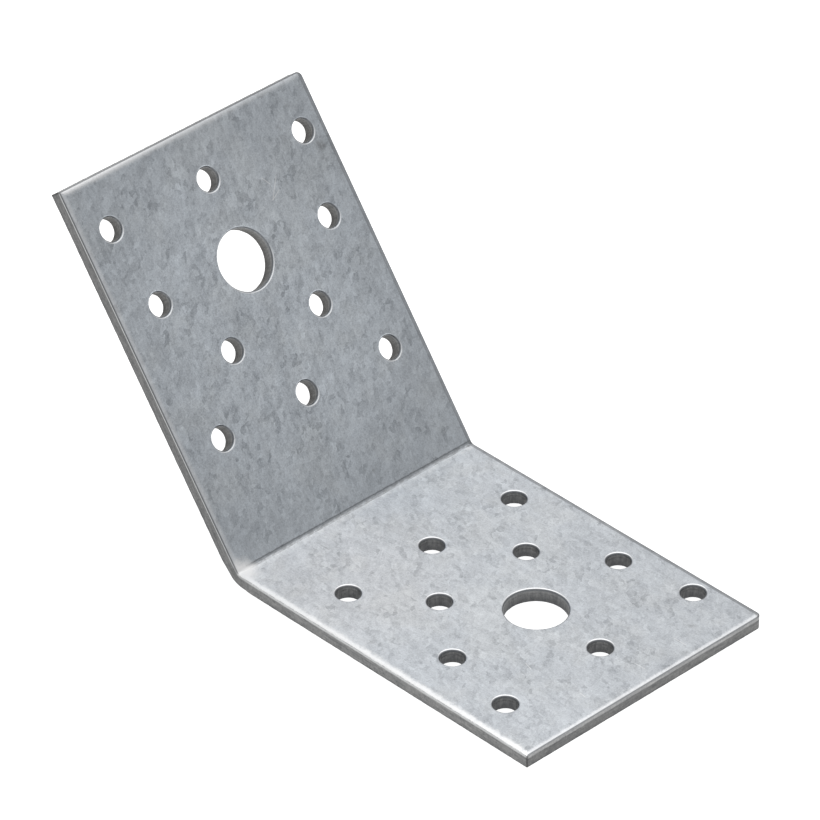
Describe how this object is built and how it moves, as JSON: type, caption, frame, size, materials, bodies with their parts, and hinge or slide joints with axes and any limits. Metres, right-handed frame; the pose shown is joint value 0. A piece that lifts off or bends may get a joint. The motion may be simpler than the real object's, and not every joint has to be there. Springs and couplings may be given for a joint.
{
  "type": "angle bracket",
  "caption": "Obtuse angle bracket of galvanised steel sheet, with a bolt hole and a pattern of nail holes in each flange.",
  "frame": {"origin": "on the axis of the lower flange's bolt hole, at the underside that lies on the supporting surface", "axes": "+Z out of the lower flange's bolt hole, away from the supporting surface; +X from the bend to the lower flange's free edge; Y across the strip"},
  "size_m": [0.1338, 0.065, 0.0695],
  "materials": {
    "galvanised_sheet": "hot-dip galvanised, dull grey with a fine soft spangle, bare steel on the sheared edges"
  },
  "bodies": {
    "root": {"bracket": "galvanised_sheet"}
  },
  "joints": []
}
